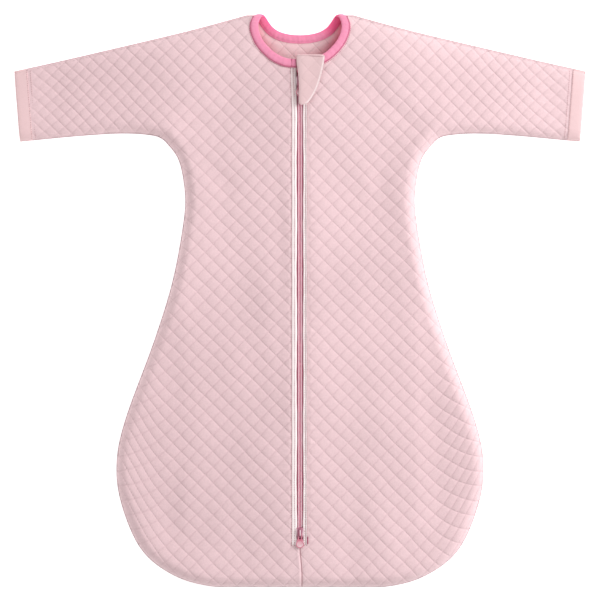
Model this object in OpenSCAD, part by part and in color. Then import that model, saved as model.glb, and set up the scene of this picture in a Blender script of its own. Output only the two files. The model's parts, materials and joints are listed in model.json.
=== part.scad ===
// Quilted baby sleeping bag with sleeves, lying on its back, zipped up.
// +X is the viewer's right, +Y is towards the neck, +Z is up out of the front.
// The origin is under the middle of the outline, on the surface that the bag lies on.
// "Left" and "right" are as seen from the front.

/* [Outline] */
// Length from the shoulder tips to the hem
bag_length = 748; // [730:1:760]
// Span from cuff edge to cuff edge
cuff_span = 745; // [735:1:755]
// Distance of each sleeve's fold line from the middle
fold_x = 176; // [174:1:180]

/* [Fabric] */
// Thickness of the quilted fabric
fabric = 3; // [2:0.5:4]
// Height of the front above the surface in the middle of the bag
lie_height = 26; // [25:1:30]
// Height of the front above the surface at the cuffs
cuff_height = 16; // [14:1:20]
// Width over which the front rises from its shoulder seams
roll = 60; // [50:5:70]
// Width over which the front rises from its side and lower seams
side_roll = 36; // [30:2:50]
// Gap between pieces that move against each other
clearance = 0.3; // [0.3:0.1:0.5]

/* [Edges] */
// Width of the turned hem at each cuff
cuff_hem_w = 17; // [12:1:22]
// Width of the neck binding
binding_w = 11; // [9:0.2:11.4]
// Thickness of the neck binding
binding_t = 3.2; // [2.4:0.2:4]
// Width of a line of stitches
thread_w = 0.8; // [0.6:0.1:1.2]

/* [Zip] */
// Upper end of the zip
zip_top = 300; // [290:1:303]
// Lower end of the zip
zip_end = -318; // [-324:1:-314]
// Half the width of the gap that shows the zip's coils
placket_gap = 4; // [3.6:0.1:5]
// Half the gap between the two coils, which the sliders' wedges run in
coil_gap = 0.6; // [0.6:0.1:0.8]
// Width of one tape
tape_w = 13; // [11:1:16]
// Distance from the middle to the left line of topstitching
left_stitch_x = 11; // [9:0.5:13]
// Distance from the middle to the right line of topstitching
right_stitch_x = 9; // [8:0.5:13]
// Middle of the upper slider
upper_slider_y = 284; // [280:1:286]
// Middle of the lower slider
lower_slider_y = -302; // [-303:1:-298]

/* [Slider] */
// Width of a slider's upper plate
slider_w = 10.8; // [9:0.2:12]
// Length of a slider
slider_l = 14; // [12:1:16]
// Distance of the pull's pin behind the middle of the slider
pin_back = 2.1; // [1.8:0.1:2.2]
// Radius of the pull's pin
pin_r = 0.7; // [0.5:0.1:0.7]
// Length of the pull from its pin
pull_l = 18; // [17:1:21]
// Greatest width of the pull
pull_w = 11; // [9:0.5:12]

/* [Chin flap] */
// Height of the flap's top fold
flap_y = 317; // [316:0.5:318]
// Length of the flap
flap_l = 64; // [58:1:68]
// Thickness of the flap
flap_t = 2.5; // [2:0.5:3]

/* [Hidden] */
$fn = 32;

quilt_pink = [0.94, 0.81, 0.83];
deep_pink = [0.93, 0.62, 0.74];
coil_pink = [0.85, 0.60, 0.68];
thread_pink = [0.82, 0.66, 0.68];
tab_pink = [0.90, 0.55, 0.64];

half_length = bag_length / 2;
edge_h = 2 * fabric;
tape_top = lie_height - fabric - 0.2;
tape_t = 0.8;
coil_h = 2.2;
plate_z = lie_height + clearance;
plate_t = 1.2;
crown_h = 3.8;
crown_z = plate_z + plate_t;
pin_z = crown_z + 0.5 + pin_r;
flap_z = crown_z + crown_h + 0.5;
top_row_y = half_length - 3;

// A point of the outline, given for a bag 748 long and 745 from cuff to cuff.
function at(x, y) = [x * cuff_span / 745, y * bag_length / 748];

// A smooth curve through points, with k steps to a span.
function bent(a, b, c, d, t) =
    b + t * (c - a) / 2 + t * t * (a - 2.5 * b + 2 * c - d / 2) + t * t * t * (1.5 * (b - c) + (d - a) / 2);
function smooth(p, k) = let (n = len(p) - 1)
    [for (i = [0:n - 1]) for (j = [0:k - 1])
        bent(p[max(i - 1, 0)], p[i], p[i + 1], p[min(i + 2, n)], j / k), p[n]];
function mirrored(p) = [for (i = [len(p) - 1:-1:0]) [-p[i].x, p[i].y]];
function steps(a, b, n) = [for (i = [0:n - 1]) a + (b - a) * i / n];
function joined(lists) = [for (part = lists) for (item = part) item];

// The seams of the right half, and the two edges of the neck.
side_seam = smooth([at(40, -374), at(108, -374), at(162, -360), at(206, -326), at(232, -268), at(239, -215),
    at(228, -157), at(190, -53), at(166, 25), at(152, 100), at(150, 140), at(158, 182), at(176, 207)], 5);
sleeve_under = smooth([at(176, 207), at(190, 214), at(230, 217), at(290, 213.5), at(372.5, 205.5)], 4);
shoulder = smooth([at(372.5, 298), at(300, 314), at(180, 342), at(124, 356), at(62, 373)], 3);
front_neck = smooth([at(4, 301), at(19, 302.5), at(36.5, 309.5), at(50.6, 322), at(61.4, 337.6),
    at(65.5, 353), at(64, 371)], 4);
back_neck = smooth([at(0, 333.8), at(27, 337.2), at(42, 344.7), at(52.6, 358.5), at(59.2, 371)], 4);
lower_seam = concat([[0, -half_length]], side_seam, sleeve_under);
cuff_foot = at(364.5, 206).x;
cuff_head = cuff_span / 2;

// Height of the front's outer face: flat in the middle, rounded down to the seams.
function gap_to(p, a, b) =
    let (t = min(1, max(0, ((p - a) * (b - a)) / ((b - a) * (b - a)))))
    norm(p - a - t * (b - a));
function gap_to_line(p, line) = min([for (i = [0:len(line) - 2]) gap_to(p, line[i], line[i + 1])]);
function rise(u) = sqrt(1 - pow(1 - min(1, u), 2));
function crest(x) = lie_height - (lie_height - cuff_height) * max(0, abs(x) - 150) / (cuff_head - 150);
function front_z(x, y) = let (p = [abs(x), y])
    edge_h + (crest(x) - edge_h) * rise(min(gap_to_line(p, lower_seam) / side_roll, gap_to_line(p, shoulder) / roll));
function over(x, y, lift) = [x, y, front_z(x, y) + lift];
function under(x, y, depth) = [x, y, max(fabric, front_z(x, y) - depth)];

// Where a curve that climbs in Y stands at height y.
function x_on(line, y) = lookup(y, [for (p = line) [p.y, p.x]]);
function y_on(line, x) = lookup(x, [for (p = line) [p.x, p.y]]);

// The right front panel, row by row from the hem to the shoulder.
armpit_y = side_seam[len(side_seam) - 1].y;
shoulder_up = [for (i = [len(shoulder) - 1:-1:0]) shoulder[i]];
split_top_y = y_on(shoulder_up, fold_x);
function inner_x(y) = y < zip_end ? 0.05
    : y < front_neck[0].y ? placket_gap
    : x_on(front_neck, y);
function outer_x(y) = y < armpit_y ? x_on(side_seam, y)
    : y < split_top_y ? fold_x
    : x_on(shoulder, y);
function panel_x(s, y) = inner_x(y) + (outer_x(y) - inner_x(y)) * s;
panel_rows = joined([
    [for (i = [0:7]) 0.4 - half_length + 50 * pow(i / 8, 2)],
    [50.4 - half_length, zip_end - 0.1],
    steps(zip_end + 0.1, armpit_y, 19),
    steps(armpit_y, front_neck[0].y, 4),
    steps(front_neck[0].y + 0.1, split_top_y, 5),
    steps(split_top_y, top_row_y, 5),
    [top_row_y]]);
panel_cols = [for (i = [0:14]) 1 - pow(1 - i / 14, 2)];

// A closed shell between an upper and a lower grid of points.
module shell(upper, lower) {
    rows = len(upper);
    cols = len(upper[0]);
    down = rows * cols;
    across = [for (r = [0:rows - 2]) for (c = [0:cols - 2]) r * cols + c];
    first_row = [for (c = [0:cols - 2]) c];
    last_row = [for (c = [0:cols - 2]) (rows - 1) * cols + c];
    first_col = [for (r = [0:rows - 2]) r * cols];
    last_col = [for (r = [0:rows - 2]) (r + 1) * cols - 1];
    polyhedron(
        points = concat(joined(upper), joined(lower)),
        faces = joined([
            joined([for (a = across) [[a, a + cols, a + cols + 1], [a, a + cols + 1, a + 1]]]),
            joined([for (a = across) [[a, a + cols + 1, a + cols] + down * [1, 1, 1],
                [a, a + 1, a + cols + 1] + down * [1, 1, 1]]]),
            joined([for (a = first_row) [[a + down, a, a + 1], [a + down, a + 1, a + 1 + down]]]),
            joined([for (a = last_row) [[a + 1 + down, a + 1, a], [a + 1 + down, a, a + down]]]),
            joined([for (a = first_col) [[a + cols + down, a + cols, a], [a + cols + down, a, a + down]]]),
            joined([for (a = last_col) [[a + down, a, a + cols], [a + down, a + cols, a + cols + down]]])]));
}

// A solid through rings of points, with the same number in each ring.
module sweep(rings) {
    n = len(rings[0]);
    last = (len(rings) - 1) * n;
    polyhedron(
        points = joined(rings),
        faces = joined([
            joined([for (k = [0:len(rings) - 2]) for (i = [0:n - 1]) let (j = (i + 1) % n, a = k * n)
                [[a + i, a + j, a + n + j], [a + i, a + n + j, a + n + i]]]),
            [for (i = [1:n - 2]) [0, i + 1, i]],
            [for (i = [1:n - 2]) [last, last + i, last + i + 1]]]));
}

// A line of stitches that follows the front, as a flat cord that lies the given height over it.
module stitch_line(path, height) {
    sweep([for (i = [0:len(path) - 1])
        let (
            ahead = path[min(i + 1, len(path) - 1)] - path[max(i - 1, 0)],
            side = [ahead.y, -ahead.x] / norm(ahead))
        [for (s = [-1, 1]) for (lift = s < 0 ? [height, height + 0.5] : [height + 0.5, height])
            let (p = path[i] + side * s * thread_w / 2) over(p.x, p.y, lift)]]);
}

module front_panel() {
    color(quilt_pink)
        shell(
            [for (y = panel_rows) [for (s = panel_cols) over(panel_x(s, y), y, 0)]],
            [for (y = panel_rows) [for (s = panel_cols) under(panel_x(s, y), y, fabric)]]);
}

module back_panel() {
    right = concat(
        side_seam,
        [[fold_x, armpit_y], [fold_x, split_top_y]],
        [for (p = shoulder) if (p.x < fold_x) p],
        [for (i = [len(back_neck) - 1:-1:1]) back_neck[i]]);
    color(quilt_pink)
        linear_extrude(fabric)
            polygon(concat(right, [back_neck[0]], mirrored(right)));
}

// The right sleeve spans from the fold line to the cuff's hem, and the hem from there to the cuff's edge.
function cuff_x(t) = cuff_foot + (cuff_head - cuff_foot) * t;
function sleeve_point(s, t, first, last) = let (x = first + (cuff_x(t) + last - first) * s)
    [x, y_on(sleeve_under, x) * (1 - t) + y_on(shoulder_up, x) * t];
sleeve_start = fold_x + clearance;
sleeve_end = -cuff_hem_w - 0.1;
across_sleeve = [for (i = [0:12]) (1 - cos(180 * i / 12)) / 2];

module sleeve_front() {
    grid = [for (t = across_sleeve)
        [for (s = [0:1 / 9:1.001]) sleeve_point(s, t, sleeve_start, sleeve_end)]];
    color(quilt_pink)
        shell(
            [for (row = grid) [for (p = row) over(p.x, p.y, 0)]],
            [for (row = grid) [for (p = row) under(p.x, p.y, fabric)]]);
}

module sleeve_back() {
    color(quilt_pink)
        linear_extrude(fabric)
            polygon(concat(
                [for (s = [0:0.125:1]) sleeve_point(s, 0, sleeve_start, sleeve_end)],
                [for (s = [1:-0.25:0]) sleeve_point(s, 1, sleeve_start, sleeve_end)]));
}

module cuff_hem() {
    hem_t = fabric + 0.8;
    n = len(across_sleeve);
    ends = [-cuff_hem_w, -cuff_hem_w / 2, 0];
    outer = [for (e = ends) concat(
        [for (t = across_sleeve) let (p = sleeve_point(1, t, 0, e)) over(p.x, p.y, 0.4)],
        [for (i = [n - 1:-1:0]) let (p = sleeve_point(1, across_sleeve[i], 0, e)) [p.x, p.y, 0]])];
    inner = [for (e = ends) concat(
        [for (t = across_sleeve) let (u = 0.04 + 0.92 * t, p = sleeve_point(1, u, 0, e))
            under(p.x, p.y, hem_t) + [0, 0, 0.3]],
        [for (i = [n - 1:-1:0]) let (u = 0.04 + 0.92 * across_sleeve[i], p = sleeve_point(1, u, 0, e))
            [p.x, p.y, fabric - 0.2]])];
    m = 2 * n;
    k_in = len(ends) * m;
    last = (len(ends) - 1) * m;
    color(quilt_pink)
        polyhedron(
            points = concat(joined(outer), joined(inner)),
            faces = joined([
                joined([for (k = [0:len(ends) - 2]) for (i = [0:m - 1]) let (j = (i + 1) % m, a = k * m)
                    [[a + i, a + j, a + m + j], [a + i, a + m + j, a + m + i]]]),
                joined([for (k = [0:len(ends) - 2]) for (i = [0:m - 1])
                    let (j = (i + 1) % m, a = k_in + k * m)
                    [[a + i, a + m + j, a + j], [a + i, a + m + i, a + m + j]]]),
                joined([for (i = [0:m - 1]) let (j = (i + 1) % m)
                    [[i, k_in + j, j], [i, k_in + i, k_in + j]]]),
                joined([for (i = [0:m - 1]) let (j = (i + 1) % m)
                    [[last + i, last + j, k_in + last + j],
                        [last + i, k_in + last + j, k_in + last + i]]])]));
}

module cuff_stitching() {
    color(thread_pink)
        for (back = [0, 4])
            stitch_line([for (t = [0.06:0.04:0.95]) sleeve_point(1, t, 0, 2 - cuff_hem_w + back)], 0.6);
}

// The binding runs from the middle of the back, over the shoulder tip, down to the zip.
// Each point is [x, y, height, angle of the width], for the right half.
binding_route = [
    [0, 339.6, 1.7, -90], [14, 340.6, 1.7, -84], [28, 344.3, 1.7, -68], [38.5, 350.8, 1.7, -50],
    [45, 358.7, 1.7, -33], [49.5, 366, 2.2, -18], [52, 369.6, 4.4, -8], [54, 370.1, 8.4, 0],
    [56.6, 367.5, 12.4, 0], [59.4, 360, 17, -2], [59.2, 350, 20.8, -12], [54.6, 337.2, 23.8, -28],
    [45.3, 324.8, 25.6, -44], [32.6, 314.4, 26.6, -56], [18.5, 308.4, 27, -76],
    [placket_gap + 1, 307, 27, -90]];
binding_half = smooth(binding_route, 3);
binding_path = concat(
    [for (i = [len(binding_half) - 1:-1:1]) let (p = binding_half[i]) [-p[0], p[1], p[2], 180 - p[3]]],
    binding_half);

module neck_binding() {
    n = len(binding_path);
    color(deep_pink)
        sweep([for (i = [0:n - 1])
            let (
                p = binding_path[i],
                q = binding_path[min(i + 1, n - 1)] - binding_path[max(i - 1, 0)],
                across = [cos(p[3]), sin(p[3]), 0],
                face = cross(across, [q[0], q[1], q[2]]),
                up = face / norm(face))
            [for (c = [[-1, 0.4], [-0.8, 1], [0.8, 1], [1, 0.4],
                    [1, -0.4], [0.8, -1], [-0.8, -1], [-1, -0.4]])
                [p[0], p[1], p[2]] + across * c[0] * binding_w / 2 + up * c[1] * binding_t / 2]]);
}

module neck_binding_stitching() {
    color(thread_pink)
        for (s = [0, 1])
            mirror([s, 0, 0])
                stitch_line(
                    [for (p = front_neck) if (p.x > placket_gap + 4 && p.y < 362) p + [1.6, -1.6]],
                    0.1);
}

module neck_bartack() {
    color(thread_pink)
        for (x = [-11, -5.6])
            translate([x - thread_w / 2, 302.5, 27 + binding_t / 2 + 0.05])
                cube([thread_w, 8.5, 0.5]);
}

module placket_stitching(x) {
    color(thread_pink)
        translate([x - thread_w / 2, zip_end, lie_height])
            cube([thread_w, zip_top - zip_end - 1, 0.5]);
}

module zip_end_bartack() {
    color(thread_pink)
        translate([right_stitch_x + thread_w / 2 + 0.1, zip_end + 2, lie_height])
            cube([1.6, 8, 0.6]);
}

module centre_front_seam() {
    color(thread_pink)
        stitch_line([for (y = [zip_end - 4:-3:4 - half_length]) [0, y]], 0.15);
}

module inner_zip_guard() {
    color(quilt_pink)
        translate([-tape_w - 3, zip_end - 4, lie_height - fabric - 4.6])
            cube([2 * tape_w + 6, zip_top - zip_end + 4, 1.6]);
}

module zip_tape() {
    color(coil_pink)
        translate([coil_gap + 0.2, zip_end, tape_top - tape_t])
            cube([tape_w, zip_top - zip_end, tape_t]);
}

module zip_coil() {
    color(coil_pink)
        translate([coil_gap, zip_end + 12, tape_top])
            cube([placket_gap - coil_gap - 0.5, zip_top - zip_end - 18, coil_h]);
}

module zip_top_stops() {
    color(coil_pink)
        for (s = [-1, 1])
            translate([s > 0 ? coil_gap : -placket_gap + 0.5, zip_top - 5, tape_top])
                cube([placket_gap - coil_gap - 0.5, 4, coil_h + 0.3]);
}

module zip_bottom_stop() {
    color(coil_pink)
        translate([-placket_gap + 0.6, zip_end + 4, tape_top])
            cube([2 * placket_gap - 1.2, 4, coil_h + 0.3]);
}

// A slider: an upper plate over the coils, a lower plate under the tapes, and a thin wedge between them.
module slider_body(y) {
    plate_below = tape_top - tape_t - clearance - 1.2;
    color(tab_pink)
        translate([0, y, 0]) {
            translate([0, 0, plate_z])
                linear_extrude(plate_t)
                    plate_outline(slider_w, slider_l);
            translate([0, 0, plate_below])
                linear_extrude(1.2)
                    plate_outline(slider_w - 2, slider_l - 1);
            translate([-coil_gap + clearance, -2.5, plate_below])
                cube([2 * (coil_gap - clearance), 5, plate_z - plate_below + 0.5]);
        }
}

module plate_outline(w, l) {
    corner = 2.5;
    hull()
        for (sx = [-1, 1])
            for (sy = [-1, 1])
                translate([sx * (w / 2 - corner - (sy < 0 ? 0.8 : 0)), sy * (l / 2 - corner)])
                    circle(corner);
}

// The crown is a bridge that stands on the upper plate and holds the pull's pin.
module slider_crown(y) {
    color(tab_pink)
        translate([-1.2, y, crown_z])
            rotate([90, 0, 90])
                linear_extrude(2.4)
                    polygon([[-4.5, 0], [-4.5, 2.6], [-3, crown_h], [3.4, crown_h], [4.5, 2], [4.5, 0],
                        [3.2, 0], [3.2, 2.4], [-3.2, 2.4], [-3.2, 0]]);
}

module slider_spring(y) {
    color("silver")
        translate([-0.6, y - 3, crown_z + 2.1])
            cube([1.2, 6, 0.3]);
}

// The pull turns on its pin in the crown; its slot clears the crown all the way round.
module pull_tab(y) {
    pull_t = 1.2;
    slot_w = 2.4 + 2 * clearance;
    pivot_y = y - pin_back;
    slot_l = 4.5 + pin_back + 0.6;
    color(tab_pink)
        translate([0, pivot_y, pin_z]) {
            translate([-slot_w / 2 - 0.1, 0, 0])
                rotate([0, 90, 0])
                    cylinder(r = pin_r, h = slot_w + 0.2, $fn = 24);
            difference() {
                translate([0, 0, -pull_t / 2])
                    linear_extrude(pull_t)
                        difference() {
                            pull_outline();
                            translate([-slot_w / 2, -slot_l])
                                square([slot_w, slot_l + 3]);
                        }
                translate([0, 6 - pull_l, pull_t / 2 - 0.35])
                    cylinder(r = pull_w / 2 - 1.8, h = 1);
            }
        }
}

module pull_outline() {
    hull() {
        translate([0, -0.2])
            square([5, 2], center = true);
        translate([0, pull_w / 2 - pull_l])
            circle(pull_w / 2);
    }
}

module chin_flap() {
    outline = smooth([at(-4.4, 317), at(-3.4, 302), at(-1.8, 286), at(-1.2, 270), at(-1.2, 257),
        at(0, 253.6), at(3, 253), at(8.5, 254.6), at(14.5, 261), at(22.3, 275.5), at(27.6, 292),
        at(31.3, 309), at(32, 317)], 3);
    color(quilt_pink)
        translate([0, 0, flap_z])
            linear_extrude(flap_t)
                polygon([for (p = outline) [p.x, flap_y + (p.y - outline[0].y) * flap_l / 64]]);
}

back_panel();
mirror([1, 0, 0]) front_panel();  // front_left_panel
front_panel();  // front_right_panel
neck_binding();
neck_binding_stitching();
neck_bartack();
inner_zip_guard();
mirror([1, 0, 0]) zip_tape();  // zip_tape_left
zip_tape();  // zip_tape_right
mirror([1, 0, 0]) zip_coil();  // zip_coil_left
zip_coil();  // zip_coil_right
zip_top_stops();
zip_bottom_stop();
placket_stitching(-left_stitch_x);  // placket_stitching_left
placket_stitching(right_stitch_x);  // placket_stitching_right
zip_end_bartack();
centre_front_seam();
slider_body(upper_slider_y);  // upper_slider_body
slider_crown(upper_slider_y);  // upper_slider_crown
slider_spring(upper_slider_y);  // upper_slider_spring
pull_tab(upper_slider_y);  // upper_pull_tab
slider_body(lower_slider_y);  // lower_slider_body
slider_crown(lower_slider_y);  // lower_slider_crown
slider_spring(lower_slider_y);  // lower_slider_spring
pull_tab(lower_slider_y);  // lower_pull_tab
chin_flap();
mirror([1, 0, 0]) sleeve_front();  // left_sleeve_front
mirror([1, 0, 0]) sleeve_back();  // left_sleeve_back
mirror([1, 0, 0]) cuff_hem();  // left_cuff_hem
mirror([1, 0, 0]) cuff_stitching();  // left_cuff_stitching
sleeve_front();  // right_sleeve_front
sleeve_back();  // right_sleeve_back
cuff_hem();  // right_cuff_hem
cuff_stitching();  // right_cuff_stitching
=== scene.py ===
import json
import math

import bpy
import numpy as np
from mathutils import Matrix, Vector


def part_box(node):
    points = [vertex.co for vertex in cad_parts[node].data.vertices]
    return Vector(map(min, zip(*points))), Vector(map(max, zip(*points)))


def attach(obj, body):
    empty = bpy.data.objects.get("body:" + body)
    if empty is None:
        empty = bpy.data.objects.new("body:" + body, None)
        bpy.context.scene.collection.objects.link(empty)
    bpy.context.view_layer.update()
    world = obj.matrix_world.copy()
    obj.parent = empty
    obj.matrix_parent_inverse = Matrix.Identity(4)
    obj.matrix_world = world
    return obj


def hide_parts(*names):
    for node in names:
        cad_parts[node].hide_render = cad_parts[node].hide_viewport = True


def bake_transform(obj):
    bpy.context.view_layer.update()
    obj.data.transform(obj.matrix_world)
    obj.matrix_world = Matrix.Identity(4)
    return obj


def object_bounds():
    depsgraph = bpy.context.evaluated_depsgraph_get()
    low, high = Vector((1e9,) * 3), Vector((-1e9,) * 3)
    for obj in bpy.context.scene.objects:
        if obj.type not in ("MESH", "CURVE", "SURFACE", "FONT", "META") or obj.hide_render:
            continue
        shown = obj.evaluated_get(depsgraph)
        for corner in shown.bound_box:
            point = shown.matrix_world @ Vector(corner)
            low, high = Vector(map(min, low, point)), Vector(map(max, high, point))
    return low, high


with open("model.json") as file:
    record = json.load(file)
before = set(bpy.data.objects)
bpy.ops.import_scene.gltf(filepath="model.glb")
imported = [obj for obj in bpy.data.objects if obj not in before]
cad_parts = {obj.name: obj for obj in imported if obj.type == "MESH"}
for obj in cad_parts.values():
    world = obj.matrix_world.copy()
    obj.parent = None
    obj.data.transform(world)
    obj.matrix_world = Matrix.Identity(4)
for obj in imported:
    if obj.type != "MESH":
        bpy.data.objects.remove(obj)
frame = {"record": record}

CAD_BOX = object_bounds()
MM = 0.001

# ---- sizes, from the frame

LOW, HIGH = CAD_BOX
HALF_LENGTH = (HIGH.y - LOW.y) / 2
HALF_SPAN = (HIGH.x - LOW.x) / 2
PIVOTS = {j["name"]: Vector(j["pos_m"]) for j in frame["record"]["behaviour"]["joints"] if j.get("pos_m")}
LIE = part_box("front_right_panel")[1].z
CUFF_RISE = 16 * MM  # height of the front at the cuffs
EDGE = 5.2 * MM  # height of the front at its seams
SEAM_Z = 3.1 * MM  # height where front and back meet
ROLL = 60 * MM  # how far in the front rises from the shoulders
SIDE_ROLL = 15 * MM  # how far in it rises from the sides and the hem
CLOTH = 2.8 * MM  # thickness of the front's cloth
TAPE_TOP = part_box("zip_tape_right")[1].z
ZIP_LOW, ZIP_HIGH = (corner.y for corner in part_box("zip_tape_right"))
PLACKET_X = 4 * MM  # half of the gap that shows the zip
STITCH_X = {side: sum(corner.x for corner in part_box(f"placket_stitching_{side}")) / 2
            for side in ("left", "right")}
CUFF_HEM_W = 17 * MM
SPLIT_X = 150 * MM  # where the sleeve's cloth starts
WAIST_Y = 138 * MM  # the side seam ends here and the split starts
SLEEVE_END = 0.3724
CELL = 20.65 * MM  # a quilted diamond, from corner to corner
GRID = CELL / 10
QUILT = CELL / math.sqrt(2)

# ---- small helpers

join = np.concatenate


def bell(value, centre, width):
    """1 at centre, falling to 0 on both sides."""
    return np.exp(-((value - centre) / width) ** 2)


def unit(rows):
    """The rows, each at length 1."""
    return rows / np.linalg.norm(rows, axis=1)[:, None]


def circle(count):
    """Cosines and sines of equal steps round a circle."""
    a = np.linspace(0, 2 * math.pi, count, endpoint=False)
    return np.cos(a), np.sin(a)


def squared(value, power):
    """Values from -1 to 1, drawn towards their ends by a power below 1."""
    return np.sign(value) * np.abs(value) ** power


def straight(y, z, facing=1.0):
    """A path along y at height z, with its directions across and up."""
    path = np.stack([0 * y, y, z + 0 * y], 1)
    return path, np.tile([facing, 0, 0], (len(y), 1)), np.tile([0, 0, 1.0], (len(y), 1))


def tube_faces(rings, around):
    """Faces of a tube with closed ends, from rings of vertices."""
    faces = []
    for k in range(rings - 1):
        for i in range(around):
            j = (i + 1) % around
            faces.append((k * around + i, k * around + j, (k + 1) * around + j, (k + 1) * around + i))
    return faces + [tuple(reversed(range(around))), tuple(range((rings - 1) * around, rings * around))]


# ---- outline of the right half


def curve(points, steps):
    """A smooth curve through points, in metres from millimetres."""
    p = np.array(points, float) * MM
    last = len(p) - 1
    out = []
    for i in range(last):
        a, b, c, d = p[max(i - 1, 0)], p[i], p[i + 1], p[min(i + 2, last)]
        for t in np.arange(steps) / steps:
            out.append(b + t * (c - a) / 2 + t * t * (a - 2.5 * b + 2 * c - d / 2)
                       + t**3 * (1.5 * (b - c) + (d - a) / 2))
    return np.array(out + [p[last]])


SIDE = curve([(40, -374), (108, -374), (162, -360), (206, -326), (232, -268), (239, -215), (228, -157),
              (190, -53), (166, 25), (152, 100), (150, 140), (158, 182), (176, 207)], 8)
UNDER = curve([(176, 207), (190, 214), (230, 217), (290, 213.5), (372.5, 205.5)], 6)
SHOULDER = curve([(372.5, 298), (300, 314), (180, 342), (124, 356), (62, 373)], 5)
FRONT_NECK = curve([(4, 303), (19.4, 304.5), (34.8, 311.1), (48.2, 322), (58.3, 335.3), (63.1, 349.2),
                    (63.4, 360), (62, 371)], 6)
BACK_NECK = curve([(0, 335.6), (14.4, 336.6), (29.5, 340.6), (41.1, 347.7), (48.4, 356.5), (53.3, 364.8),
                   (56.5, 371)], 6)
LOWER = join([[[0, -HALF_LENGTH]], SIDE, UNDER[1:]])
LOWER[:, 1] = np.maximum(LOWER[:, 1], -HALF_LENGTH)
ARMPIT = join([SIDE[SIDE[:, 1] > WAIST_Y], UNDER[1:]])
CUFF_FOOT = np.array([364.5, 206]) * MM
CUFF_HEAD = np.array([HALF_SPAN, 298 * MM])


def gap_to(line, x, y):
    """Distance from each point to a polyline."""
    best = np.full(np.shape(x), np.inf)
    for (ax, ay), (bx, by) in zip(line[:-1], line[1:]):
        dx, dy = bx - ax, by - ay
        t = np.clip(((x - ax) * dx + (y - ay) * dy) / (dx * dx + dy * dy), 0, 1)
        best = np.minimum(best, np.hypot(x - ax - t * dx, y - ay - t * dy))
    return best


def smoothstep(t):
    t = np.clip(t, 0, 1)
    return t * t * (3 - 2 * t)


def ease(value, start, width):
    """0 up to start, rising smoothly to 1 over width, both in millimetres."""
    return smoothstep((value - start * MM) / (width * MM))


def seam_gap(x, y):
    """Distance to the nearer seam, rounded where the two seams are equally far.
    The lower seam counts as farther, because the front rises more steeply from it."""
    a, b = gap_to(LOWER, np.abs(x), y) * ROLL / SIDE_ROLL, gap_to(SHOULDER, np.abs(x), y)
    k = 12 * MM
    return np.maximum(-k * np.log(np.exp(-a / k) + np.exp(-b / k)), 0)


# ---- how the cloth lies

# Soft folds of the front: from, to, height and half width, in millimetres.
FOLDS = [
    (-27, 150, -24, -215, -0.8, 12),
    (104, 150, 176, -70, -1.2, 15),
    (80, 120, 146, -110, 0.6, 18),
    (-150, 228, -92, 262, -1.8, 12),
    (-146, 200, -96, 150, -1.6, 13),
    (150, 226, 96, 268, -1.8, 12),
    (146, 200, 104, 160, -1.4, 13),
    (-190, 262, -300, 255, 1.0, 18),
    (190, 250, 300, 262, 1.1, 18),
    (-120, -330, -60, -190, 1.3, 20),
    (-170, -290, -150, -160, -1.4, 16),
    (120, -335, 84, -210, 1.2, 20),
    (180, -280, 168, -150, -1.3, 17),
    (-70, -350, -90, -260, -1.2, 14),
    (62, -352, 74, -270, -1.2, 14),
    (-110, 20, -150, -90, 1.1, 18),
    (40, 230, 90, 150, 0.9, 16),
    (-60, 250, -100, 180, 1.0, 16),
    (20, 40, 60, -60, 0.7, 18),
]


def folds(x, y):
    total = np.zeros(np.shape(x))
    for ax, ay, bx, by, height, width in FOLDS:
        line = np.array([(ax, ay), (bx, by)]) * MM
        total += height * MM * bell(gap_to(line, x, y), 0, width * MM)
    return total


def ripple(x, y, seed):
    """Gentle unevenness, a few waves with fixed phases."""
    rng = np.random.default_rng(seed)
    total = np.zeros(np.shape(x))
    for _ in range(9):
        angle, length, phase = rng.uniform(0, math.pi), rng.uniform(0.045, 0.14), rng.uniform(0, 2 * math.pi)
        total += np.sin(2 * math.pi * (x * math.cos(angle) + y * math.sin(angle)) / length + phase) / 9
    return total


def quilt_place(x, y, seed=3):
    """Where a point lies in the quilting: both numbers are whole on the stitched lines."""
    sleeve = smoothstep((np.abs(x) - 0.17) / 0.2)
    tall = y + 0.3 * sleeve * (y - 0.265) + 1.2 * MM * ripple(x * 1.6, y * 1.6, seed)
    wide = x * (1 + 0.06 * sleeve) + 1.2 * MM * ripple(y * 1.5, x * 1.5, seed + 1)
    root = QUILT * math.sqrt(2)
    return (wide + tall) / root, (wide - tall) / root


def quilting(x, y, seed=3):
    """Height of the quilted cells, from 0 on a stitched line to 1 in the middle of a cell."""
    a, b = quilt_place(x, y, seed)
    u, v = np.abs(np.sin(math.pi * a)), np.abs(np.sin(math.pi * b))
    return 1 - 0.5 * (1 - u) ** 2.0 - 0.5 * (1 - v) ** 1.3


def calm(x, y):
    """0 along the zip, the neck and the centre seam, 1 away from them."""
    return ease(np.abs(x), 9, 16) * ease(gap_to(FRONT_NECK, np.abs(x), y), 3, 14)


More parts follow.
